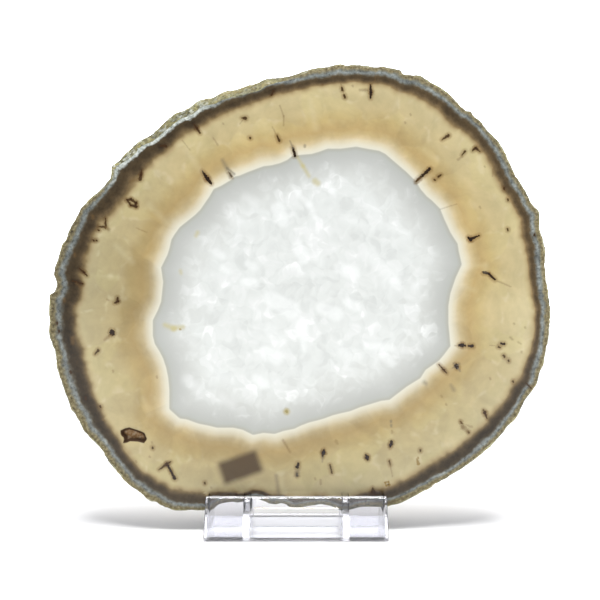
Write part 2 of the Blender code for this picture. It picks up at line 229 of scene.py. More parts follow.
# The marks in the stone, by look. Each is a stroke through points given in the pixels of the
# photograph's 600 x 600 frame: across, down and half width of every point in turn.
photo = {"middle": (299.6, 300.0), "mmPerPixel": 0.4839, "middleHeight": 111.8}
markLooks = {                           # tone on the marks' colour scale, strength, softness in mm
    "black": (0.0, 0.98, 0.4),
    "brown": (0.2, 0.92, 0.5),
    "smear": (0.3, 0.5, 1.5),
    "faint": (0.3, 0.34, 0.8),
    "ochre": (0.45, 0.75, 0.7),
    "grey": (0.6, 0.55, 1.0),
    "blur": (0.6, 0.5, 2.2),
    "stain": (0.78, 0.55, 2.2),
    "pale": (0.9, 0.13, 3.2),
    "facet": (1.0, 0.34, 2.8),
    "glow": (1.0, 0.22, 5.0),
}
haloBelow = 0.25                        # tone below which a mark has a rusty halo
marks = {
    "upper left": {
        "brown": [(160.6, 146, 0.8, 165.5, 146, 1.4),
                  (141.7, 170, 0.5, 141, 175, 1.2, 140.3, 179, 1.8),
                  (127.2, 200, 1.1, 131, 199.2, 1.2, 136, 203, 1.4, 136.2, 206.6, 1.3,
                   131, 205.4, 1, 127.2, 200, 1),
                  (194, 124, 0.5, 197, 128.5, 1.2, 200, 133, 1), (228.6, 171, 0.6, 231.6, 176.6, 1)],
        "faint": [(182.3, 140.3, 0.6, 190, 150, 0.6), (223, 123.5, 0.9, 223.4, 124, 0.9),
                  (213.5, 138, 0.7, 217.8, 145, 0.9)],
        "smear": [(137, 180, 2, 130, 181.5, 1)],
        "black": [(202.2, 170.9, 0.6, 207.3, 178.6, 2.1, 211.4, 183.7, 1)],
        "blur": [(222.7, 160.2, 1.6, 230.8, 176, 2.4)],
        "grey": [(227, 168, 1, 234.4, 174, 1.2)],
        "pale": [(186, 150, 2, 200, 170, 3), (150, 205, 2.5, 166, 222, 3)],
    },
    "top": {
        "brown": [(242, 118, 0.6, 245.4, 118.4, 1.8), (249.9, 137.8, 1, 250.4, 138.4, 0.9),
                  (277, 135.5, 0.7, 279.3, 140.8, 1.2), (271.6, 94.9, 1.1, 273.7, 90.8, 1),
                  (342, 88, 1.1, 342.6, 90.2, 1.2), (344.3, 95.4, 1.2, 345, 97.6, 1.1)],
        "faint": [(243, 119.5, 0.5, 240, 124, 0.5),
                  (279.8, 105.6, 0.7, 283.7, 116, 0.8, 283.7, 125.5, 0.7),
                  (272.4, 127, 0.6, 277, 135.5, 0.7), (322.4, 84.2, 1, 323, 85, 1),
                  (340.8, 84, 0.5, 344.6, 96.4, 0.6), (352.6, 85.7, 1, 353, 86.4, 1),
                  (370.6, 85, 0.6, 375.2, 80.6, 0.6, 375.5, 72, 0.6), (405, 122.4, 1, 405.6, 123, 1),
                  (410.4, 114.3, 1, 411, 115, 1)],
        "grey": [(290, 140.8, 0.6, 293, 148, 1.2), (304.8, 145.4, 1.3, 304.8, 146.6, 1.3)],
        "black": [(293, 148, 1.1, 295.1, 155.6, 1.6), (370.5, 85, 0.9, 370.8, 92, 1.6, 370.6, 98, 1)],
        "smear": [(360, 90, 1, 368, 90, 1.8)],
        "pale": [(400, 92, 1.2, 398, 102, 1.6, 393, 110, 1), (310, 100, 2, 316, 128, 3)],
    },
    "upper right": {
        "brown": [(442, 139.8, 0.6, 448.5, 135.5, 1.6),
                  (472.7, 150.5, 1, 475.7, 148, 1.4, 479.8, 151.5, 0.7),
                  (465, 151.5, 1.1, 462, 155, 0.5), (434.4, 179.6, 0.9, 435, 180, 0.9),
                  (438.5, 176.5, 1.2, 441, 175, 0.8), (504.2, 188, 1, 504.2, 189.4, 0.8),
                  (507.8, 199.2, 0.9, 508, 200.6, 0.7)],
        "faint": [(457.9, 159.7, 1.2, 462.4, 156.6, 1), (484.6, 166.3, 0.8, 485, 167, 0.8),
                  (493, 169.4, 1, 492.6, 176, 0.8), (440.4, 209.2, 0.5, 456.7, 204, 0.5),
                  (479.7, 207, 1.2, 480.5, 208, 1)],
        "black": [(416.5, 181, 1.2, 429.8, 168.9, 1.6)],
        "smear": [(416, 182.5, 2.2, 421, 178, 1.6)],
        "pale": [(424, 150, 2, 437, 160, 2.5)],
    },
    "right": {
        "black": [(468.2, 237.6, 1.1, 470.4, 239.4, 1.9, 479.2, 235.5, 0.6),
                  (483.8, 272.4, 1.5, 488.4, 273.5, 1.3, 495, 279.6, 1),
                  (501, 343.7, 1.1, 504, 343.9, 1.3),
                  (459.2, 345.4, 1.1, 462.4, 345.2, 2.1, 465, 345.6, 1.1),
                  (469, 346, 1.2, 472.6, 346, 1.6), (456.2, 365.6, 2.2, 457.4, 367.4, 1.8)],
        "brown": [(507.8, 229, 1, 508, 230.4, 0.8), (534.3, 234.4, 0.9, 534.3, 235.4, 0.9),
                  (498.6, 346.9, 1.1, 500, 347.6, 0.8), (503.7, 355.6, 1.2, 504.4, 357, 1),
                  (508.6, 360.2, 0.9, 508.9, 361.4, 0.7),
                  (438.9, 364.5, 0.6, 444, 370, 1, 446.7, 373, 0.6),
                  (512.9, 381.2, 1, 513.2, 382.4, 0.9), (526.5, 383.5, 0.7, 531, 388, 0.9)],
        "pale": [(471, 266, 2.2, 486, 265, 1.4, 485, 271, 2), (462, 285, 1.4, 474, 290, 2.4)],
        "faint": [(497.6, 281, 1, 510.8, 286.7, 0.7), (514, 323.3, 1, 514.4, 324.4, 0.8),
                  (525, 327.2, 1, 525.4, 328, 1), (518.2, 342, 1, 521, 343.9, 0.8),
                  (521.5, 351.5, 1, 521.6, 352.4, 1), (489.9, 345.4, 0.5, 494.5, 345.6, 0.5),
                  (454.7, 345.6, 0.5, 474, 345.8, 0.5), (441.4, 395.9, 1.1, 442, 396.8, 1),
                  (446, 404, 1, 446.6, 404.8, 1), (489.9, 378, 1, 490.4, 379, 1)],
        "smear": [(510.3, 337.6, 0.9, 512.5, 339.4, 0.9)],
        "grey": [(454, 363.4, 0.9, 460, 371, 1), (452.6, 368, 0.7, 459.4, 364, 0.8)],
        "blur": [(424.4, 382.4, 1.8, 426, 383.4, 1.6), (451, 385, 1.2, 453.7, 389.8, 1.8)],
    },
    "lower right": {
        "brown": [(483.5, 410, 0.5, 485, 412.8, 1.6, 487, 418.5, 0.5),
                  (460.6, 421.4, 0.8, 462, 424, 1), (468.4, 432, 1, 469, 432.8, 0.8),
                  (389.4, 461, 0.8, 390.2, 465, 0.6), (420.3, 450, 0.9, 420.4, 451, 0.9),
                  (372.7, 487.8, 0.6, 373.2, 492, 2.3), (388.3, 484.4, 0.8, 388.8, 484.8, 0.8)],
        "smear": [(460.3, 421, 1.2, 463, 427, 2.2, 468, 431, 2)],
        "faint": [(472, 427, 1.2, 466, 425, 1), (392, 431, 1.2, 392.2, 433, 1),
                  (389.3, 460.2, 0.7, 392.6, 476.5, 0.7)],
        "grey": [(391, 420.8, 1.2, 391.2, 422, 1.2), (391.3, 425, 1.3, 391.4, 426.2, 1.2)],
        "black": [(391.5, 442.3, 1.8, 390.6, 445, 1.5, 390, 447.4, 0.6),
                  (366, 455, 0.8, 367, 457.4, 2.2, 368, 459.6, 0.8)],
        "ochre": [(417, 459, 0.8, 418.4, 463.4, 1.8), (418, 457.5, 0.9, 418.2, 458.2, 0.9),
                  (385, 482.4, 0.8, 388.5, 481.8, 0.9, 389.8, 484.8, 0.8,
                   386.4, 485.8, 0.8, 385, 482.4, 0.8)],
    },
    "bottom": {
        "faint": [(336, 441, 1.6, 337.4, 443.4, 1.4), (315, 478.2, 1.1, 315.4, 479.4, 1),
                  (320.6, 480, 1, 320.7, 484, 1), (211, 487.4, 1, 211.4, 488, 1)],
        "black": [(323.7, 449.8, 0.8, 323.4, 453, 2.1, 322.8, 456.6, 0.8),
                  (298.4, 463.4, 1.1, 297.4, 467, 1.9), (297, 473, 0.8, 297, 475.4, 1.2)],
        "grey": [(322.9, 457, 0.9, 322.4, 462, 0.6)],
        "blur": [(297.2, 471, 1.8, 297, 475, 2.2), (276.2, 475.5, 1.4, 278.8, 494.9, 1.8)],
        "brown": [(330, 465, 0.7, 332, 473, 0.9), (204.8, 482.6, 1, 205, 483.6, 0.9),
                  (236.1, 494, 1, 236.3, 495, 1)],
        "pale": [(247, 488.8, 1.2, 253.3, 482.7, 1.6), (281, 476, 1.2, 283.6, 493, 1.4)],
        "smear": [(283, 440, 1, 290, 452, 1)],
    },
    "lower left": {
        "faint": [(151.9, 442, 1, 152.1, 443, 1), (135.9, 461, 1, 136.6, 462, 1),
                  (149.5, 456.5, 1, 150.2, 457, 1), (113, 370.7, 1, 113.2, 372, 1),
                  (156.8, 376.3, 1, 157, 377.6, 1), (102.8, 419.2, 1.4, 103.6, 420, 1.2)],
        "brown": [(152.6, 447.4, 1, 152.8, 448.4, 0.9), (167, 464, 1.7, 158.9, 469.7, 0.5),
                  (167, 464, 1.6, 170.6, 462, 0.6), (100.2, 406.2, 1.1, 100.8, 407.2, 0.9),
                  (85.5, 397.6, 1.2, 85.9, 399, 1), (70.6, 371.6, 1.2, 71, 373, 1)],
        "black": [(167, 464, 1.4, 171, 471, 1, 174.7, 478.4, 1.7)],
        "pale": [(143, 398, 2, 150, 414, 3)],
    },
    "left": {
        "smear": [(92.8, 216, 1.6, 93, 218, 1.4), (74.7, 254, 1.4, 74.8, 256, 1.2),
                  (64.5, 299, 1.4, 64.5, 301, 1.2), (72.5, 338, 2, 72.8, 343, 1.8),
                  (105.6, 227, 1.5, 108.8, 229.8, 1.6), (76, 283, 1, 80.7, 287.8, 1.2),
                  (110.6, 335, 1.8, 105, 339.8, 1.2)],
        "brown": [(57, 322.4, 1, 57.2, 323.8, 1), (59, 330.4, 1, 59.2, 331.8, 1),
                  (105.6, 227, 1.5, 105.6, 218.4, 0.6), (105.6, 227, 1.4, 99, 226.6, 0.6),
                  (98.3, 230, 0.9, 98.9, 230.4, 0.9), (93.5, 240.4, 1, 94, 240.6, 1),
                  (96.5, 240.4, 0.9, 96.9, 240.8, 0.8),
                  (79.6, 268.3, 0.6, 84, 272.4, 1.2, 87.2, 275.9, 0.7),
                  (72.5, 280.8, 0.8, 82.8, 284, 0.9), (106.8, 276.6, 0.8, 112, 276.9, 0.7),
                  (117.5, 298, 1.2, 118, 301.4, 1.2, 114.8, 303, 0.8),
                  (98.3, 350.4, 1.4, 95, 354, 0.7)],
        "faint": [(136.5, 228, 0.6, 146.8, 232.3, 0.6), (107, 299.3, 0.8, 109, 300.4, 0.7)],
        "pale": [(101.8, 276, 1, 110, 276.8, 1.8, 119, 277.5, 1), (116, 246, 2.4, 132, 262, 3)],
        "black": [(112, 332.2, 2.7, 112.3, 333, 2.7)],
    },
    "core": {
        "stain": [(165, 325, 2.2, 174, 328.4, 2.8, 183, 327, 2), (196, 236, 1.4, 197.6, 232.6, 1.8),
                  (180.6, 271, 1.3, 181.2, 273.4, 1.1), (298, 158, 1.2, 303, 166, 1.8, 309, 176, 1.6),
                  (315, 181, 3, 317.4, 183, 3), (286.6, 411.4, 3.2, 286.8, 411.6, 3.2)],
        "ochre": [(173, 328, 1.2, 173.6, 328.6, 1), (180, 329, 1, 180.5, 329.4, 0.9)],
        "brown": [(286.5, 411.2, 1.3, 286.7, 411.6, 1.3)],
        "facet": [(278, 209, 7, 283, 221, 6), (293, 187, 1.6, 309, 205, 3, 319, 224, 1.8),
                  (329, 185, 3, 333, 191, 2.5), (298, 247, 6, 304, 258, 6),
                  (248, 264, 3.6, 254, 267, 4), (244, 282, 4, 254, 284, 5), (270, 298, 7, 291, 310, 9),
                  (340, 268, 6, 353, 273, 7), (394, 281, 4, 399, 286, 4), (322, 308, 6, 336, 314, 7),
                  (348, 303, 5, 356, 307, 5), (302, 324, 6, 304, 350, 2), (266, 352, 6, 277, 358, 7),
                  (367, 346, 3.4, 390, 348, 4), (256, 378, 4, 264, 384, 5),
                  (383, 357, 4, 392, 363, 3.6), (216, 252, 3.4, 222, 256, 3.6),
                  (223, 268, 3, 228, 272, 3)],
        "glow": [(370, 206, 4, 376, 210, 4), (342, 218, 2, 374, 228, 3), (368, 216, 2, 407, 234, 3),
                 (316, 258, 4, 322, 261, 4), (370, 254, 6, 394, 280, 8), (409, 281, 4, 417, 285, 4),
                 (270, 330, 6, 280, 341, 6), (340, 350, 5, 354, 356, 6), (215, 373, 5, 227, 379, 6),
                 (186, 380, 4, 195, 386, 5), (222, 398, 4, 232, 404, 4), (231, 216, 4, 238, 222, 4),
                 (246, 198, 4, 254, 204, 4)],
    },
}


# The sticker's shade, seen through the stone from the front, in mm and degrees.
labelShade = {"middle": (-28.7, 30.9), "size": (19.8, 11.1), "tilt": 19.2, "soft": 2.0}


def onStone(across, down):
    x = (across - photo["middle"][0]) * photo["mmPerPixel"]
    z = photo["middleHeight"] + (photo["middle"][1] - down) * photo["mmPerPixel"]
    return x, z


def markStrokes():
    # One row for each straight stretch of each mark: start, unit direction, length, half width, how
    # much that grows, and look.
    shortest = 0.05                     # mm, so that a dot has a length too
    rows = []
    for look, stroke in ((look, stroke) for place in marks.values()
                         for look, strokes in place.items() for stroke in strokes):
        points = np.reshape(stroke, (-1, 3))
        for (x0, y0, half0), (x1, y1, half1) in zip(points, points[1:]):
            start, end = np.array(onStone(x0, y0)), np.array(onStone(x1, y1))
            length = max(np.linalg.norm(end - start), shortest)
            half0, half1 = half0 * photo["mmPerPixel"], half1 * photo["mmPerPixel"]
            rows.append((*start, *((end - start) / length), length, half0, half1 - half0,
                         *markLooks[look]))
    return np.array(rows)


# The slice: rings of the rough rim from front to back, then rings in across both sawn faces.
def rimRings():
    bearings = bearingOf(outlineCurve, stone["middle"])
    flareFrom, flareTo, fade = stone["flare"]
    flared = (easeBetween(flareFrom - fade, flareFrom + fade, bearings)
              - easeBetween(flareTo - fade, flareTo + fade, bearings))
    outward = outwardOf(outlineCurve, stone["outwardReach"])
    depths, plain, wide = np.array(stone["rimSection"], float).T
    half = stone["thickness"] / 2
    rings, heights = [], []
    for depth in stone["rimDepths"]:
        offset = (np.interp(depth, depths, plain) * (1 - flared)
                  + np.interp(depth, depths, wide) * flared)
        y = depth - half
        places = np.stack([outlineCurve[:, 0], np.full(len(outlineCurve), y), outlineCurve[:, 1]], 1)
        relief = sum(noiseAt(places, size) * height for size, height in stone["relief"])
        if depth in (0, stone["thickness"]):
            relief = relief * stone["sawnShare"]
        relief = np.where(outlineCurve[:, 1] < stone["footTop"], np.minimum(relief, 0), relief)
        ring = outlineCurve + outward * (offset + relief)[:, None]
        rings.append(np.stack([ring[:, 0], np.full(len(ring), y), ring[:, 1]], 1))
        heights.append(relief)
    return rings, heights


def ringShares(stretches, length):
    # Shares of a way of this length, from stretches of it with their own steps: (until, step) in mm.
    stops, at = [], 0.0
    for until, step in stretches:
        count = max(1, round((until - at) / step))
        stops += list(at + (until - at) * np.arange(1, count + 1) / count)
        at = until
    return np.array(stops) / length


def quartzPoints(edge):
    # For each edge vertex, the point of the quartz edge in the same direction from the heart.
    heart = stone["heart"]
    fine = evenSteps(np.array(quartzOutline, float), stone["quartzSteps"])
    turn = bearingOf(fine, heart)
    order = turn.argsort()
    away = np.hypot(*(fine - heart).T)[order]
    table = list(zip(turn[order], away))
    angle = bearingOf(edge, heart)
    radius = roundTheStone(angle, table)
    angle = np.radians(angle)
    return np.stack([heart[0] + radius * np.cos(angle), heart[1] + radius * np.sin(angle)], 1)


def faceRings(edgeRing, plans):
    # The rings of a sawn face, from its edge in to the quartz and from there to the heart.
    outer, inner = (ringShares(plan, way) for plan, way in zip(plans, stone["faceWays"]))
    edge = edgeRing[:, [0, 2]]
    quartz = quartzPoints(edge)
    heart = np.array(stone["heart"])
    flat = [edge + (quartz - edge) * share for share in outer]
    flat += [quartz + (heart - quartz) * share for share in inner]
    return [np.stack([ring[:, 0], np.full(len(ring), edgeRing[0, 1]), ring[:, 1]], 1) for ring in flat]


def buildSlice():
    rings, heights = rimRings()
    steps = stone["stepsRound"]
    frontRings = faceRings(rings[0], stone["frontRings"])
    backRings = faceRings(rings[-1], stone["backRings"])
    chain = frontRings[::-1] + rings + backRings
    level = np.zeros(steps)
    height = np.concatenate([level] * len(frontRings) + heights + [level] * len(backRings) + [[0, 0]])
    half = stone["thickness"] / 2
    heartX, heartZ = stone["heart"]
    places = np.vstack(chain + [[(heartX, -half, heartZ), (heartX, half, heartZ)]])

    # The pocket: vertices inside its outline sink behind the polished face.
    pocketAway, _ = signedDistance(places[:, [0, 2]], pocketOutline)
    onFront = places[:, 1] < -half + 0.01
    lumpSize, lumpHeight = stone["pocketLumps"]
    lumps = noiseAt(places * onFront[:, None], lumpSize, seed=5.0) * lumpHeight
    sink = easeBetween(*stone["pocketSide"], pocketAway) * (stone["pocketDepth"] + lumps) * onFront
    places[:, 1] += sink

    faces, slots = [], []
    ringCount = len(chain)
    onRim = range(len(frontRings), len(frontRings) + len(rings) - 1)
    for k in range(ringCount - 1):
        for i in range(steps):
            j = (i + 1) % steps
            faces.append((k * steps + i, (k + 1) * steps + i, (k + 1) * steps + j, k * steps + j))
        slots += [int(k in onRim)] * steps
    frontHeart, backHeart = ringCount * steps, ringCount * steps + 1
    last = (ringCount - 1) * steps
    for i in range(steps):
        j = (i + 1) % steps
        faces.append((frontHeart, i, j))
        faces.append((backHeart, last + j, last + i))
    slots += [0] * (2 * steps)

    # The outline is centred as the solid is, and kept within its box.
    low, high = (np.array(corner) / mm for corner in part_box("agate_slice"))
    reach = places[:, 0]
    shift = (reach.max() + reach.min()) / 2 - (low[0] + high[0]) / 2
    flat = places[:, [0, 2]].copy()
    places[:, 0] = np.clip(places[:, 0] - shift, low[0], high[0])
    places[:, 2] = np.clip(places[:, 2], low[2], high[2])

    mesh = bpy.data.meshes.new("agateSlice")
    mesh.from_pydata((places * mm).tolist(), [], faces)
    mesh.polygons.foreach_set("material_index", slots)
    mesh.polygons.foreach_set("use_smooth", [True] * len(faces))
    addStoneAttributes(mesh, flat, height, pocketAway, onFront)
    addMarkAttributes(mesh, flat)
    made = bpy.data.objects.new("agateSlice", mesh)
    bpy.context.scene.collection.objects.link(made)
    return made


def addStoneAttributes(mesh, flat, height, pocketAway, onFront):
    # What the material reads at each vertex: where it lies in the bands, and how far from the core.
    away, nearest = signedDistance(flat, outlineCurve[::2])
    depthIn = np.maximum(-away, 0)
    bearings = bearingOf(nearest, stone["middle"])
    skin, blue, dark = (roundTheStone(bearings, bandWidths, k) for k in (1, 2, 3))
    band = np.where(depthIn < skin, depthIn / skin,
                    np.where(depthIn < blue, 1 + (depthIn - skin) / (blue - skin),
                             np.where(depthIn < dark, 2 + (depthIn - blue) / (dark - blue),
                                      3 + (depthIn - dark) / stone["fourthBand"])))
    core, _ = signedDistance(flat, quartzOutline)
    x, z = flat[:, 0] - labelShade["middle"][0], flat[:, 1] - labelShade["middle"][1]
    tilt = math.radians(labelShade["tilt"])
    along = np.abs(x * math.cos(tilt) + z * math.sin(tilt)) - labelShade["size"][0] / 2
    across = np.abs(-x * math.sin(tilt) + z * math.cos(tilt)) - labelShade["size"][1] / 2
    soft = labelShade["soft"]
    shade = easeBetween(soft, -soft, along) * easeBetween(soft, -soft, across) * onFront
    values = {
        "band": band,
        "core": core,
        "tone": roundTheStone(bearings, amberTone),
        "deep": roundTheStone(bearings, darkTone),
        "frost": (easeBetween(*stone["frostIn"], bearings)
                  * (1 - easeBetween(*stone["frostOut"], bearings))),
        "pocket": np.where(onFront, pocketAway, 9),    # the back has none, so it reads far away
        "labelShade": shade,
        "relief": height,
    }
    for name, numbers in values.items():
        layer = mesh.attributes.new(name, "FLOAT", "POINT")
        layer.data.foreach_set("value", numbers.astype(np.float32))


def addMarkAttributes(mesh, flat):
    # Each face carries the two strokes nearest to it, and each of its corners its place along them.
    strokes = markStrokes()
    count = len(mesh.loops)
    vertexOf, faceStart = np.empty(count, int), np.empty(len(mesh.polygons), int)
    faceSize = np.empty(len(mesh.polygons), int)
    mesh.loops.foreach_get("vertex_index", vertexOf)
    mesh.polygons.foreach_get("loop_start", faceStart)
    mesh.polygons.foreach_get("loop_total", faceSize)
    faceOf = np.repeat(np.arange(len(faceSize)), faceSize)
    centres = np.add.reduceat(flat[vertexOf], faceStart) / faceSize[:, None]
    start, way = strokes[:, 0:2], strokes[:, 2:4]
    length, half, growth, tone, strength, soft = strokes[:, 4:].T
    nearest = np.empty((len(centres), 2), int)
    for first in range(0, len(centres), batch):
        offset = centres[first:first + batch, None, :] - start
        along = (offset * way).sum(2)
        across = offset[..., 1] * way[:, 0] - offset[..., 0] * way[:, 1]
        held = np.clip(along, 0, length)
        edge = np.hypot(along - held, across) - (half + growth * held / length)
        nearest[first:first + batch] = np.argsort(edge - soft / 2, axis=1)[:, :2]
    for layer in (0, 1):
        row = nearest[faceOf, layer]
        offset = flat[vertexOf] - start[row]
        along = (offset * way[row]).sum(1)
        across = offset[:, 1] * way[row, 0] - offset[:, 0] * way[row, 1]
        vectors = {
            "markPlace": (along, across, length[row]),
            "markWidth": (half[row], growth[row], soft[row]),
            "markLook": (tone[row], strength[row], tone[row] < haloBelow),
        }
        for name, numbers in vectors.items():
            made = mesh.attributes.new(name + str(layer), "FLOAT_VECTOR", "CORNER")
            made.data.foreach_set("vector", np.stack(numbers, 1).astype(np.float32).ravel())


# The stand: a low clear moulding with two leaning walls, joined by ribs, with a slot for the stone.
stand = {
    "middle": -1.6, "length": 86.0, "footDepth": 40.0, "topDepth": 26.4, "height": 18.6,
    "wall": 2.2, "endWall": 1.1, "base": 1.0, "rib": 3.0, "ribAway": 23.5, "ribTop": 15.5,
    "windowLengths": (43.8, 39.8), "windowHeights": (1.6, 13.7),
    "slotWidth": 9.6, "slotFloor": 8.7, "grooveWidth": 0.8, "grooveDepth": 0.4,
    "corner": 0.7, "edge": 0.18,        # radii of the outer corners and of all other edges
    "softFrom": 32.0,                   # degrees between two faces from which their edge is rounded
    "overrun": 2.0,                     # how far each cut runs past the face that it opens
}


def taperedBlock(name, lowSize, highSize, low, high, x=0.0):
    # A block whose length and depth change evenly from its foot to its top, in mm.
    corners = [(x + along * length / 2, across * depth / 2, z)
               for (length, depth), z in ((lowSize, low), (highSize, high))
               for along, across in ((-1, -1), (1, -1), (1, 1), (-1, 1))]
    sides = [(0, 3, 2, 1), (4, 5, 6, 7)] + [(k, (k + 1) % 4, (k + 1) % 4 + 4, k + 4) for k in range(4)]
    mesh = bpy.data.meshes.new(name)
    mesh.from_pydata([tuple(c * mm for c in corner) for corner in corners], [], sides)
    made = bpy.data.objects.new(name, mesh)
    made.location.x = stand["middle"] * mm
    bpy.context.scene.collection.objects.link(made)
    return made


def standCuts():
    # Three bays between ribs and end walls, each with its moulding line, then window, trough and slot.
    lean = (stand["footDepth"] - stand["topDepth"]) / 2 / stand["height"]

    def between(z):
        return stand["footDepth"] - 2 * (lean * z + stand["wall"] * math.hypot(1, lean))

    base, ribTop, top = stand["base"], stand["ribTop"], stand["height"] + stand["overrun"]
    inner, outer = stand["ribAway"] - stand["rib"] / 2, stand["ribAway"] + stand["rib"] / 2
    end = stand["length"] / 2 - stand["endWall"]
    cuts = []
    for left, right in ((-end, -outer), (-inner, inner), (outer, end)):
        length, x = right - left, (left + right) / 2
        cuts.append(((length, between(base)), (length, between(top)), base, top, x))
        line = (length - stand["rib"], stand["grooveWidth"])
        cuts.append((line, line, base - stand["grooveDepth"], base + stand["grooveDepth"], x))
    through = stand["footDepth"] + 2 * stand["overrun"]
    endToEnd = stand["length"] + 2 * stand["overrun"]
    sill, head = stand["windowLengths"]
    cuts.append(((sill, through), (head, through), *stand["windowHeights"]))
    cuts.append(((endToEnd, between(ribTop)), (endToEnd, between(top)), ribTop, top))
    slot = (endToEnd, stand["slotWidth"])
    cuts.append((slot, slot, stand["slotFloor"], top))
    return cuts


def buildStand():
    body = taperedBlock("clearStand", (stand["length"], stand["footDepth"]),
                        (stand["length"], stand["topDepth"]), 0.0, stand["height"])
    bm = bmesh.new()
    bm.from_mesh(body.data)
    aboveFoot = [edge for edge in bm.edges if max(v.co.z for v in edge.verts) > 0]
    bmesh.ops.bevel(bm, geom=aboveFoot, offset=stand["corner"] * mm, segments=4, profile=0.5,
                    affect="EDGES")
    bm.to_mesh(body.data)
    bm.free()
    tools = [taperedBlock("cut", *cut) for cut in standCuts()]
    for tool in tools:
        cut = body.modifiers.new("cut", "BOOLEAN")
        cut.operation, cut.solver, cut.object = "DIFFERENCE", "EXACT", tool
    soft = body.modifiers.new("soft edges", "BEVEL")
    soft.width, soft.segments, soft.harden_normals = stand["edge"] * mm, 2, True
    soft.limit_method, soft.angle_limit = "ANGLE", math.radians(stand["softFrom"])
    graph = bpy.context.evaluated_depsgraph_get()
    moulded = bpy.data.meshes.new_from_object(body.evaluated_get(graph))
    body.modifiers.clear()
    body.data = moulded
    for tool in tools:
        bpy.data.objects.remove(tool)
    return body


# Materials. Colours are sRGB hex, turned to linear in one place.
def linear(hexColour):
    parts = [int(hexColour[k:k + 2], 16) / 255 for k in (1, 3, 5)]
    return (*[c / 12.92 if c <= 0.04045 else ((c + 0.055) / 1.055) ** 2.4 for c in parts], 1.0)


def setInputs(node, inputs):
    # Sets a node's inputs to values or links: a list in their own order, or a dictionary by name.
    for name, value in enumerate(inputs) if isinstance(inputs, list) else inputs.items():
        if isinstance(value, bpy.types.NodeSocket):
            node.id_data.links.new(value, node.inputs[name])
        else:
            node.inputs[name].default_value = value


def addNode(tree, kind, inputs=None, stops=None, out=0, **settings):
    # Adds a shader node with its settings, inputs and colour stops, and gives one of its outputs.
    # A Mix node of colours counts those as inputs 6 and 7, and its result as output 2.
    node = tree.nodes.new("ShaderNode" + kind)
    for name, value in settings.items():
        setattr(node, name, value)
    setInputs(node, inputs or {})
    if stops:
        elements = node.color_ramp.elements
        while len(elements) < len(stops):
            elements.new(0.5)
        for element, (position, colour) in zip(elements, stops):
            element.position = position
            element.color = linear(colour) if isinstance(colour, str) else (colour, colour, colour, 1)
    return node.outputs[out]


def newMaterial(name):
    material = bpy.data.materials.new(name)
    material.use_nodes = True
    tree = material.node_tree
    return material, partial(addNode, tree), tree.nodes["Principled BSDF"]


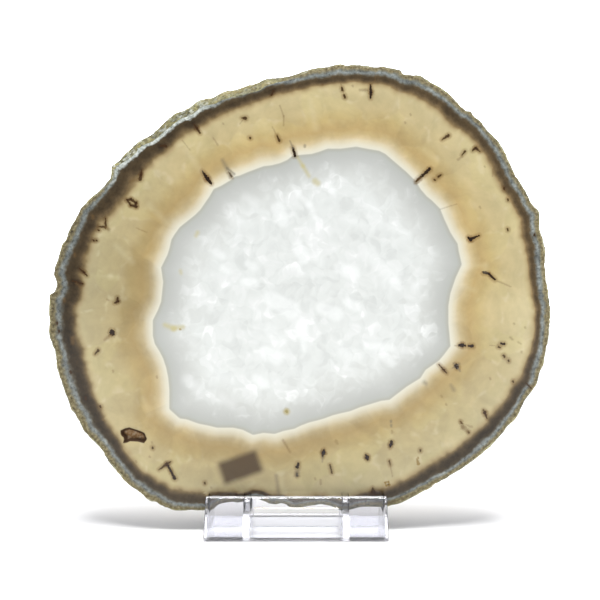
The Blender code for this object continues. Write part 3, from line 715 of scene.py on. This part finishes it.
perMm = 1000.0                          # noise scale that gives cells 1 mm across
agateFinish = {
    "ior": 1.54,                        # chalcedony and quartz
    "shine": 0.3,                       # less than a fresh lap's, from handling
    "polish": (0.13, 0.2),              # roughness where it is cleanest and where it is most handled
    "matt": 0.75,                       # roughness of the skin's cut edge and of the pocket
    "grain": 0.4,                       # height in mm of the grit where the stone is matt
    # noises that several parts of the stone share: size in mm, detail, roughness
    "noises": {"waver": (9.0, 3.0, 0.5), "crumbs": (1.5, 4.0, 0.62), "smoke": (5.0, 1.0, 0.4)},
    # sizes in mm of the patterns in the bands, in the amber, in the core and at the marks' edges
    "beadSize": 2.0, "bendSize": 26.0, "cellSize": 15.0, "veilSize": 9.0,
    "jagSize": 9.0, "milkSize": 12.0, "ragSize": 0.9,
    "bend": 18.0, "jag": 9.0,           # how far cells are bent and grains jagged, in mm
    # colour of the stone by the way out from the quartz edge, in mm
    "coreColours": [(-26, "#d9dbd6"), (-15, "#cdcfca"), (-9, "#c3c5c0"), (-5, "#babcb7"),
                    (-2, "#b4b6b0"), (-0.25, "#adaca0"), (0.25, "#dad7c6"), (1.6, "#dad4be"),
                    (3.2, "#d5caab"), (5, "#c8b68d"), (7, "#bca778"), (9.5, "#b79f6c"),
                    (14, "#bba673"), (19, "#c4b385"), (26, "#c4b589"), (36, "#cabd93"),
                    (58, "#ccbf96")],
    "ripple": 3.0, "rippled": (1.5, 9.0),      # mm that this wavers by, and where that sets in
    "farOut": (9.0, 20.0),              # mm from the quartz edge where wisps and olive cast set in
    "grainEdge": (-5.0, -24.0),         # mm inside the quartz edge where the grains set in
    "olive": "#f0f6e6", "wisp": "#e6dfc0",
    # colour by the place in the bands: 0 outline, 1 end of the skin, 2 of the blue-grey, 3 of the dark
    "bandSpan": 4.4,
    "bandColours": [(0.0, "#766c4e"), (0.45, "#857a57"), (0.85, "#827a5c"), (1.2, "#82857c"),
                    (1.5, "#8e9490"), (1.75, "#81847d"), (1.95, "#6a6455"), (2.12, "#514430"),
                    (2.35, "#4a3c27"), (2.56, "#564731"), (2.76, "#6e5c40"), (2.94, "#8c7650"),
                    (3.12, "#ad976b"), (3.4, "#c3b183")],
    # where each band is, as shares of the span, and how fully
    "inSkin": [(0.0, 0.8), (0.16, 0.8), (0.29, 0.0)],
    "inBlue": [(0.2, 0.0), (0.28, 1.0), (0.42, 0.9), (0.475, 0.0)],
    "inDark": [(0.42, 0.0), (0.49, 1.0), (0.6, 1.0), (0.72, 0.0)],
    "bandEnd": (3.45, 2.85),            # where the bands fade into the amber
    # colours of the crumbs: clouds in the blue-grey, frost on it, grit in the skin, the pocket's crust
    "clouds": [(0.32, "#9b9995"), (0.44, "#cfd1d4"), (0.55, "#f0f0f2"), (0.68, "#ffffff")],
    "frost": [(0.32, "#7d827a"), (0.46, "#b9c0b8"), (0.6, "#e4e9e2")],
    "grit": [(0.32, "#2b2415"), (0.43, "#62573b"), (0.52, "#857a56"), (0.62, "#a59b77"),
             (0.74, "#c6c0a6")],
    "crust": [(0.3, "#5a3b1c"), (0.5, "#8f6f48"), (0.66, "#a89379")],
    "lip": "#3a2309", "lipAt": (-1.7, -0.7), "pocketAt": (0.45, -0.05),    # mm to its outline
    # the quartz grains: size in mm, how strong the painted shade across each is, how much they differ,
    # softness
    "grains": [(10.0, 0.36, 0.36, 0.16), (5.2, 0.34, 0.5, 0.3), (2.8, 0.16, 0.34, 0.5)],
    "grainColours": [(0.1, "#d0d3cf"), (0.35, "#d8dbd7"), (0.55, "#dcdfdb"), (0.75, "#e1e3e0"),
                     (0.95, "#eceeeb")],
    "markColours": [(0.0, "#241507"), (0.22, "#3c260d"), (0.3, "#6b5230"), (0.45, "#7f6427"),
                    (0.6, "#6c6556"), (0.78, "#bdb274"), (0.9, "#e2dab8"), (1.0, "#f8faf8")],
    "halo": "#ad8f66", "labelShade": "#4b3a26",
}


def agateBands(add, place, value):
    # The rim's bands: crumbly skin, beaded blue-grey with a frosting on the upper left, then dark.
    finish = agateFinish
    beads = add("TexVoronoi",
                {"Vector": place, "Scale": perMm / finish["beadSize"], "Smoothness": 0.35},
                feature="SMOOTH_F1")
    beads = add("Math", [beads, 0.38], operation="SUBTRACT")
    beaded = add("MapRange", [value["band"], 2.5, 1.7, 0.0, 0.35], interpolation_type="SMOOTHSTEP")
    bandAt = value["band"]
    for pattern, share in ((beads, beaded), (value["waver"], 0.4), (value["smoke"], 0.26)):
        bandAt = add("Math", [pattern, share, bandAt], operation="MULTIPLY_ADD")
    bandAt = add("Math", [bandAt, 0.33], operation="SUBTRACT")
    bandShare = add("Math", [bandAt, finish["bandSpan"]], operation="DIVIDE")
    bandColour = add("ValToRGB", {"Fac": bandShare},
                     stops=[(at / finish["bandSpan"], colour) for at, colour in finish["bandColours"]])
    inSkin, inBlue, inDark = (add("ValToRGB", {"Fac": bandShare}, stops=finish[name])
                              for name in ("inSkin", "inBlue", "inDark"))
    clouds, frost, grit = (add("ValToRGB", {"Fac": value["crumbs"]}, stops=finish[name])
                           for name in ("clouds", "frost", "grit"))

    # Clouding in the bands: fine threads of lavender-grey and darker specks in the blue-grey one.
    cloudy = add("MapRange", [value["smoke"], 0.3, 0.7, 0.7, 1.56])
    clouds = add("VectorMath", {0: clouds, "Scale": cloudy}, operation="SCALE")
    clouded = add("Mix", {0: 1.0, 6: bandColour, 7: clouds}, out=2, data_type="RGBA",
                  blend_type="MULTIPLY")
    frosted = add("Math", [inBlue, value["frost"]], operation="MULTIPLY")
    for cover, colour in ((inBlue, clouded), (frosted, frost), (inSkin, grit)):
        bandColour = add("Mix", {0: cover, 6: bandColour, 7: colour}, out=2, data_type="RGBA")

    # The dark band is mottled, and deeper on some sides of the stone than on others.
    mottled = add("Math", [value["crumbs"], value["smoke"]], operation="ADD")
    mottled = add("MapRange", [mottled, 0.75, 1.25, 0.74, 1.28])
    mottled = add("Math", [mottled, value["deep"]], operation="MULTIPLY")
    deep = add("Mix", {0: inDark, 2: value["tone"], 3: mottled}, data_type="FLOAT")
    bandColour = add("VectorMath", {0: bandColour, "Scale": deep}, operation="SCALE")
    overAmber = add("MapRange", [bandAt, *finish["bandEnd"]], interpolation_type="SMOOTHSTEP")
    return bandColour, overAmber, inSkin


def agateAmber(add, place, value):
    # Amber chalcedony and the grey edge of the core, by the distance from the quartz edge.
    finish = agateFinish
    low, high = finish["coreColours"][0][0], finish["coreColours"][-1][0]
    ripple = add("Math", [value["waver"], finish["ripple"], -finish["ripple"] / 2],
                 operation="MULTIPLY_ADD")
    beyond = add("MapRange", [value["core"], *finish["rippled"], 0.0, 2.2])
    ripple = add("Math", [ripple, beyond], operation="MULTIPLY")
    coreAt = add("Math", [value["core"], ripple], operation="ADD")
    coreAt = add("MapRange", [coreAt, low, high])
    colour = add("ValToRGB", {"Fac": coreAt},
                 stops=[((at - low) / (high - low), shade) for at, shade in finish["coreColours"]])

    # Large faint cells and drifting veils.
    bend = add("TexNoise", {"Vector": place, "Scale": perMm / finish["bendSize"], "Detail": 2.0},
               out="Color")
    bent = add("VectorMath", [bend, [finish["bend"] * mm] * 3, place], operation="MULTIPLY_ADD")
    cells = add("TexVoronoi", {"Vector": bent, "Scale": perMm / finish["cellSize"], "Smoothness": 0.12},
                out="Color", feature="SMOOTH_F1")
    cellTone = add("MapRange", [cells, 0.1, 0.9, 0.93, 1.07])
    veil = add("TexNoise",
               {"Vector": bent, "Scale": perMm / finish["veilSize"], "Detail": 4.0, "Roughness": 0.6})
    veilTone = add("MapRange", [veil, 0.3, 0.7, 0.9, 1.1])
    tint = add("Math", [cellTone, veilTone], operation="MULTIPLY")
    tint = add("Math", [tint, value["tone"]], operation="MULTIPLY")
    outOfCore = add("MapRange", [value["core"], 0.0, 5.0])
    tint = add("Mix", {0: outOfCore, 2: 1.0, 3: tint}, data_type="FLOAT")
    colour = add("VectorMath", {0: colour, "Scale": tint}, operation="SCALE")

    # Pale wisps where healed cracks run between the cells, and an olive cast in some of them.
    farOut = add("MapRange", [value["core"], *finish["farOut"]], interpolation_type="SMOOTHSTEP")
    olive = add("MapRange", [cells, 0.45, 0.75, 0.0, 0.28], interpolation_type="SMOOTHSTEP")
    olive = add("Math", [olive, farOut], operation="MULTIPLY")
    seam = add("TexVoronoi", {"Vector": bent, "Scale": perMm / finish["cellSize"]},
               feature="DISTANCE_TO_EDGE")
    wisp = add("MapRange", [seam, 0.12, 0.0], interpolation_type="SMOOTHSTEP")
    thin = add("MapRange", [value["smoke"], 0.5, 0.7, 0.0, 0.17], interpolation_type="SMOOTHSTEP")
    wisp = add("Math", [wisp, thin], operation="MULTIPLY")
    wisp = add("Math", [wisp, farOut], operation="MULTIPLY")
    colour = add("Mix", {0: olive, 6: colour, 7: linear(finish["olive"])}, out=2, data_type="RGBA",
                 blend_type="MULTIPLY")
    colour = add("Mix", {0: wisp, 6: colour, 7: linear(finish["wisp"])}, out=2, data_type="RGBA")
    return colour, veil


def quartzGrains(add, place, value):
    # The quartz core: angular grains of 2 to 10 mm, milky and bright, clearing to grey at the edge.
    finish = agateFinish
    jag = add("TexNoise", {"Vector": place, "Scale": perMm / finish["jagSize"], "Detail": 1.0},
              out="Color")
    jagged = add("VectorMath", [jag, [finish["jag"] * mm] * 3, place], operation="MULTIPLY_ADD")
    milk = add("TexNoise", {"Vector": jagged, "Scale": perMm / finish["milkSize"], "Detail": 3.0})
    tone = add("Math", [milk, 0.9, -0.45], operation="MULTIPLY_ADD")
    for grainSize, lit, own, soft in finish["grains"]:
        # each grain has its own milkiness, and painted shading: lighter towards the side that it leans
        # to
        grain = add("TexVoronoi", {"Vector": jagged, "Scale": perMm / grainSize, "Smoothness": soft},
                    feature="SMOOTH_F1").node.outputs
        away = add("VectorMath", [jagged, grain["Position"]], operation="SUBTRACT")
        lean = add("VectorMath", [grain["Color"], (0.5, 0.5, 0.5)], operation="SUBTRACT")
        paintedFacetShade = add("VectorMath", [away, lean], out="Value", operation="DOT_PRODUCT")
        tone = add("Math", [paintedFacetShade, lit * perMm / grainSize, tone], operation="MULTIPLY_ADD")
        ownTone = add("Math", [grain["Color"], own, -own / 2], operation="MULTIPLY_ADD")
        tone = add("Math", [tone, ownTone], operation="ADD")
    share = add("Math", [tone, 0.5], operation="ADD")
    colour = add("ValToRGB", {"Fac": share}, stops=finish["grainColours"])
    milkEdge = add("Math", [tone, -12.0, value["core"]], operation="MULTIPLY_ADD")
    inGrains = add("MapRange", [milkEdge, *finish["grainEdge"]], interpolation_type="SMOOTHSTEP")
    return colour, inGrains


def agateMarks(add, place, stoneColour):
    # The marks, nearest stroke last so that it lies on top, each with a slightly ragged edge.
    finish = agateFinish
    ragged = add("TexNoise", {"Vector": place, "Scale": perMm / finish["ragSize"], "Detail": 2.0})
    for layer in ("1", "0"):
        spot, width, look = (add("Attribute", out="Vector", attribute_name=name + layer)
                             for name in ("markPlace", "markWidth", "markLook"))
        spot, width, look = (add("SeparateXYZ", [v]).node.outputs
                             for v in (spot, width, look))
        # distance to the stroke's middle line, and its half width there
        held = add("Math", [spot[0], 0.0], operation="MAXIMUM")
        held = add("Math", [held, spot[2]], operation="MINIMUM")
        past = add("Math", [spot[0], held], operation="SUBTRACT")
        apart = add("CombineXYZ", [past, spot[1]])
        apart = add("VectorMath", [apart], out="Value", operation="LENGTH")
        share = add("Math", [held, spot[2]], operation="DIVIDE")
        half = add("Math", [share, width[1], width[0]], operation="MULTIPLY_ADD")
        # wide and dark marks are the most ragged
        blot = add("Math", [width[2], 0.6], operation="MINIMUM")
        blot = add("Math", [half, blot], operation="ADD")
        rag = add("Math", [ragged, 1.2, -0.6], operation="MULTIPLY_ADD")
        calm = add("Math", [1.0, look[0]], operation="SUBTRACT")
        blot = add("Math", [blot, calm], operation="MULTIPLY")
        rag = add("Math", [rag, blot], operation="MULTIPLY")
        edge = add("Math", [apart, half], operation="SUBTRACT")
        edge = add("Math", [edge, rag], operation="ADD")
        fall = add("Math", [edge, width[2]], operation="DIVIDE")
        inside = add("MapRange", [fall, 0.5, -0.5], interpolation_type="SMOOTHSTEP")
        inside = add("Math", [inside, look[1]], operation="MULTIPLY")
        colour = add("ValToRGB", {"Fac": look[0]}, stops=finish["markColours"])
        # iron has crept out of the dark marks as a thin brown halo
        halo = add("MapRange", [edge, 1.6, 0.1, 0.0, 0.5], interpolation_type="SMOOTHSTEP")
        halo = add("Math", [halo, look[2]], operation="MULTIPLY")
        stoneColour = add("Mix", {0: halo, 6: stoneColour, 7: linear(finish["halo"])}, out=2,
                          data_type="RGBA", blend_type="MULTIPLY")
        stoneColour = add("Mix", {0: inside, 6: stoneColour, 7: colour}, out=2, data_type="RGBA")
    return stoneColour


def polishedAgate():
    # Agate sawn and lapped to a polish: a clean gloss over soft bands of colour in the stone.
    material, add, shader = newMaterial("Polished agate")
    finish = agateFinish
    place = add("TexCoord", out="Object")
    value = {name: add("Attribute", out="Fac", attribute_name=name)
             for name in ("band", "core", "tone", "deep", "frost", "pocket", "labelShade")}
    for name, (size, detail, roughness) in finish["noises"].items():
        value[name] = add("TexNoise", {"Vector": place, "Scale": perMm / size, "Detail": detail,
                                       "Roughness": roughness})

    bandColour, overAmber, inSkin = agateBands(add, place, value)
    stoneColour, veil = agateAmber(add, place, value)
    grainColour, inGrains = quartzGrains(add, place, value)
    for cover, colour in ((overAmber, bandColour), (inGrains, grainColour)):
        stoneColour = add("Mix", {0: cover, 6: stoneColour, 7: colour}, out=2, data_type="RGBA")
    stoneColour = agateMarks(add, place, stoneColour)

    # The sticker's shade, then the pocket: a brown rusty crust, dark along its lip, and unpolished.
    shaded = add("Math", [value["labelShade"], 0.95], operation="MULTIPLY")
    crust = add("ValToRGB", {"Fac": value["crumbs"]}, stops=finish["crust"])
    lip = add("MapRange", [value["pocket"], *finish["lipAt"]], interpolation_type="SMOOTHSTEP")
    crust = add("Mix", {0: lip, 6: crust, 7: linear(finish["lip"])}, out=2, data_type="RGBA")
    inPocket = add("MapRange", [value["pocket"], *finish["pocketAt"]], interpolation_type="SMOOTHSTEP")
    for cover, colour in ((shaded, linear(finish["labelShade"])), (inPocket, crust)):
        stoneColour = add("Mix", {0: cover, 6: stoneColour, 7: colour}, out=2, data_type="RGBA")

    matt = add("Math", [inPocket, inSkin], operation="MAXIMUM")
    smears = add("MapRange", [veil, 0.3, 0.7, *finish["polish"]])
    gloss = add("Mix", {0: matt, 2: smears, 3: finish["matt"]}, data_type="FLOAT")
    gritty = add("Math", [matt, 0.6], operation="MULTIPLY")
    bump = add("Bump",
               {"Height": value["crumbs"], "Strength": gritty, "Distance": finish["grain"] * mm})
    setInputs(shader, {"Base Color": stoneColour, "Roughness": gloss, "Normal": bump,
                       "IOR": finish["ior"], "Specular IOR Level": finish["shine"]})
    return material


skinFinish = {
    "ior": 1.5, "roughness": (0.68, 0.95),
    "patchSize": 7.0, "gritSize": 1.1, "pitSize": 1.6,     # mm
    "patches": [(0.3, "#5f5a3c"), (0.42, "#8a845f"), (0.5, "#a29d72"), (0.57, "#948452"),
                (0.64, "#b3ae8a"), (0.74, "#c6c8b8")],
    "crumbs": [(0.22, "#403f26"), (0.36, "#6c6944"), (0.5, "#958f57"), (0.62, "#a1a285"),
               (0.8, "#c8cec5")],
    "grit": [(0.34, 0.32), (0.46, 0.8), (0.55, 1.0), (0.68, 1.0)],
    "pitDepth": 0.5,                    # mm
}


def roughSkin():
    # The nodule's natural weathered skin: dull, pitted, khaki and olive with paler crumbs.
    material, add, shader = newMaterial("Weathered agate skin")
    finish = skinFinish
    place = add("TexCoord", out="Object")
    relief, frost = (add("Attribute", out="Fac", attribute_name=name)
                     for name in ("relief", "frost"))
    patches = add("TexNoise", {"Vector": place, "Scale": perMm / finish["patchSize"], "Detail": 5.0,
                               "Roughness": 0.62})
    grit = add("TexNoise",
               {"Vector": place, "Scale": perMm / finish["gritSize"], "Detail": 4.0, "Roughness": 0.65})
    pits = add("TexVoronoi", {"Vector": place, "Scale": perMm / finish["pitSize"]})
    colour = add("ValToRGB", {"Fac": patches}, stops=finish["patches"])
    # crumbs of every shade from dark olive to frosty white, most of all where the rim flares
    crumbs = add("ValToRGB", {"Fac": pits.node.outputs["Color"]}, stops=finish["crumbs"])
    crumbly = add("Math", [frost, 0.45, 0.25], operation="MULTIPLY_ADD")
    colour = add("Mix", {0: crumbly, 6: colour, 7: crumbs}, out=2, data_type="RGBA")
    specks = add("ValToRGB", {"Fac": grit}, stops=finish["grit"])
    specks = add("VectorMath", {0: specks, "Scale": 1.06}, operation="SCALE")
    colour = add("Mix", {0: 1.0, 6: colour, 7: specks}, out=2, data_type="RGBA", blend_type="MULTIPLY")
    # painted shade: darker in the hollows of the skin's relief and a little lighter on its knobs, by
    # their height
    paintedHollowShade = add("MapRange", [relief, -0.6, 0.35, 0.45, 1.1])
    colour = add("VectorMath", {0: colour, "Scale": paintedHollowShade}, operation="SCALE")
    rough = add("MapRange", [grit, 0.0, 1.0, *finish["roughness"]])
    height = add("Math", [pits, 0.6, grit], operation="MULTIPLY_ADD")
    bump = add("Bump", {"Height": height, "Strength": 0.7, "Distance": finish["pitDepth"] * mm})
    setInputs(shader, {"Base Color": colour, "Roughness": rough, "Normal": bump, "IOR": finish["ior"]})
    return material


styreneFinish = {
    "ior": 1.59, "colour": "#fcfcff",
    "clear": 0.96,                      # the rest is its slight haze
    "gloss": (0.02, 0.09),              # roughness of the clean plastic and of its scuffs
    "matt": 0.4, "rimFrom": 14.5,       # roughness of the underside, and where its rim begins in mm
    "flowSize": 14.0, "flowHeight": 0.6, "scuffSize": 1.5,     # mm
}


def clearStyrene():
    # Injection-moulded clear polystyrene: glassy, with faint flow marks and handling scratches.
    material, add, shader = newMaterial("Clear moulded polystyrene")
    finish = styreneFinish
    place = add("TexCoord", out="Object")
    flow = add("TexNoise", {"Vector": place, "Scale": perMm / finish["flowSize"], "Detail": 2.0})
    scuffs = add("TexNoise", {"Vector": place, "Scale": perMm / finish["scuffSize"], "Detail": 4.0})
    rough = add("MapRange", [scuffs, 0.45, 0.75, *finish["gloss"]])
    # the underside keeps the mould's matt grain between the ribs and along its rim
    spot = add("SeparateXYZ", [place]).node.outputs
    below = add("Math", [spot["Z"], 0.15 * mm], operation="LESS_THAN")
    across = add("Math", [spot["X"]], operation="ABSOLUTE")
    inMiddle = add("Math", [across, (stand["ribAway"] - stand["rib"] / 2) * mm], operation="LESS_THAN")
    away = add("Math", [spot["Y"]], operation="ABSOLUTE")
    onRim = add("Math", [away, finish["rimFrom"] * mm], operation="GREATER_THAN")
    onRim = add("Math", [onRim, inMiddle], operation="MAXIMUM")
    matt = add("Math", [below, onRim], operation="MULTIPLY")
    matt = add("Math", [matt, finish["matt"]], operation="MULTIPLY")
    rough = add("Math", [rough, matt], operation="MAXIMUM")
    bump = add("Bump", {"Height": flow, "Strength": 0.15, "Distance": finish["flowHeight"] * mm})
    setInputs(shader, {"Base Color": linear(finish["colour"]), "Roughness": rough, "Normal": bump,
                       "Transmission Weight": finish["clear"], "IOR": finish["ior"]})
    return material


paperFinish = {"roughness": 0.72, "fibreSize": 0.5, "fibreHeight": 0.1,     # sizes in mm
               "colours": [(0.3, "#e2dfd6"), (0.7, "#f1efe8")]}


def labelPaper():
    # Coated label paper: white, matt, with a faint fibre tooth.
    material, add, shader = newMaterial("White label paper")
    finish = paperFinish
    place = add("TexCoord", out="Object")
    fibres = add("TexNoise", {"Vector": place, "Scale": perMm / finish["fibreSize"], "Detail": 4.0})
    colour = add("ValToRGB", {"Fac": fibres}, stops=finish["colours"])
    bump = add("Bump", {"Height": fibres, "Strength": 0.25, "Distance": finish["fibreHeight"] * mm})
    setInputs(shader, {"Base Color": colour, "Roughness": finish["roughness"], "Normal": bump})
    return material


# The studio: white floor, white surround that is dimmer on the camera's side, a soft key light.
studio = {
    "camera": (0.0002, -0.365, 0.1118), "lens": 44.7,
    # brightness of the surround low down, around, on the camera's side, and its share overhead
    "backdrop": 3.4, "surround": 0.68, "surroundFront": 0.4, "surroundTop": 0.55, "tint": "#f8f9fe",
    # where these run into each other, as the sine of the angle
    "backdropTop": (0.25, 0.45), "frontFade": (-0.45, 0.1), "topFade": (0.5, 0.85),
    "keyElevation": 76.0, "keyBearing": 12.0, "keySoftness": 25.0, "keyStrength": 3.7,
    "floor": 3.0, "floorColour": "#f6f6f6", "floorRoughness": 0.9,
    "airGap": 0.0003,                   # the hair of air that lies under a clear foot
}


def buildStudio():
    scene = bpy.context.scene
    scene.view_settings.view_transform = "Standard"
    camera = bpy.data.objects.new("camera", bpy.data.cameras.new("camera"))
    camera.location = studio["camera"]
    camera.rotation_euler = (math.radians(90), 0, 0)
    camera.data.lens = studio["lens"]
    camera.data.clip_start = 0.01
    scene.collection.objects.link(camera)
    scene.camera = camera

    world = bpy.data.worlds.new("white surround")
    world.use_nodes = True
    scene.world = world
    add = partial(addNode, world.node_tree)
    way = add("TexCoord", out="Generated")
    way = add("SeparateXYZ", [way]).node.outputs
    level = studio["surround"]
    for side, fade, low in (("Z", "backdropTop", "backdrop"), ("Y", "frontFade", "surroundFront")):
        level = add("MapRange", [way[side], *studio[fade], studio[low], level],
                    interpolation_type="SMOOTHSTEP")
    overhead = add("MapRange", [way["Z"], *studio["topFade"], 1.0, studio["surroundTop"]],
                   interpolation_type="SMOOTHSTEP")
    level = add("Math", [level, overhead], operation="MULTIPLY")
    setInputs(world.node_tree.nodes["Background"], {"Color": linear(studio["tint"]), "Strength": level})

    # the key light: high, a little forward and to the right
    light = bpy.data.lights.new("overhead softbox", "SUN")
    light.angle = math.radians(studio["keySoftness"])
    light.energy = studio["keyStrength"]
    lamp = bpy.data.objects.new("overhead softbox", light)
    lamp.rotation_euler = (math.radians(90 - studio["keyElevation"]), 0,
                           math.radians(studio["keyBearing"]))
    lamp.location = (0, 0, 1)
    scene.collection.objects.link(lamp)

    bm = bmesh.new()
    bmesh.ops.create_grid(bm, x_segments=2, y_segments=2, size=studio["floor"])
    mesh = bpy.data.meshes.new("floor")
    bm.to_mesh(mesh)
    bm.free()
    floor = bpy.data.objects.new("floor", mesh)
    floor.location.z = -studio["airGap"]
    scene.collection.objects.link(floor)
    material, _, shader = newMaterial("White sweep")        # uncoated paper, dead matt
    setInputs(shader, {"Base Color": linear(studio["floorColour"]), "Specular IOR Level": 0.0,
                       "Roughness": studio["floorRoughness"]})
    mesh.materials.append(material)


buildStudio()
print("studio ready")

agateSlice = buildSlice()
agateSlice.data.materials.append(polishedAgate())
agateSlice.data.materials.append(roughSkin())
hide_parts("agate_slice")
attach(agateSlice, "root")
print("slice ready:", len(agateSlice.data.polygons), "faces")

clearStand = buildStand()
clearStand.data.materials.clear()
clearStand.data.materials.append(clearStyrene())
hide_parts("display_stand")
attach(clearStand, "root")
sticker = bpy.data.objects["back_label"]
sticker.material_slots[0].material = labelPaper()
print("stand and sticker ready")
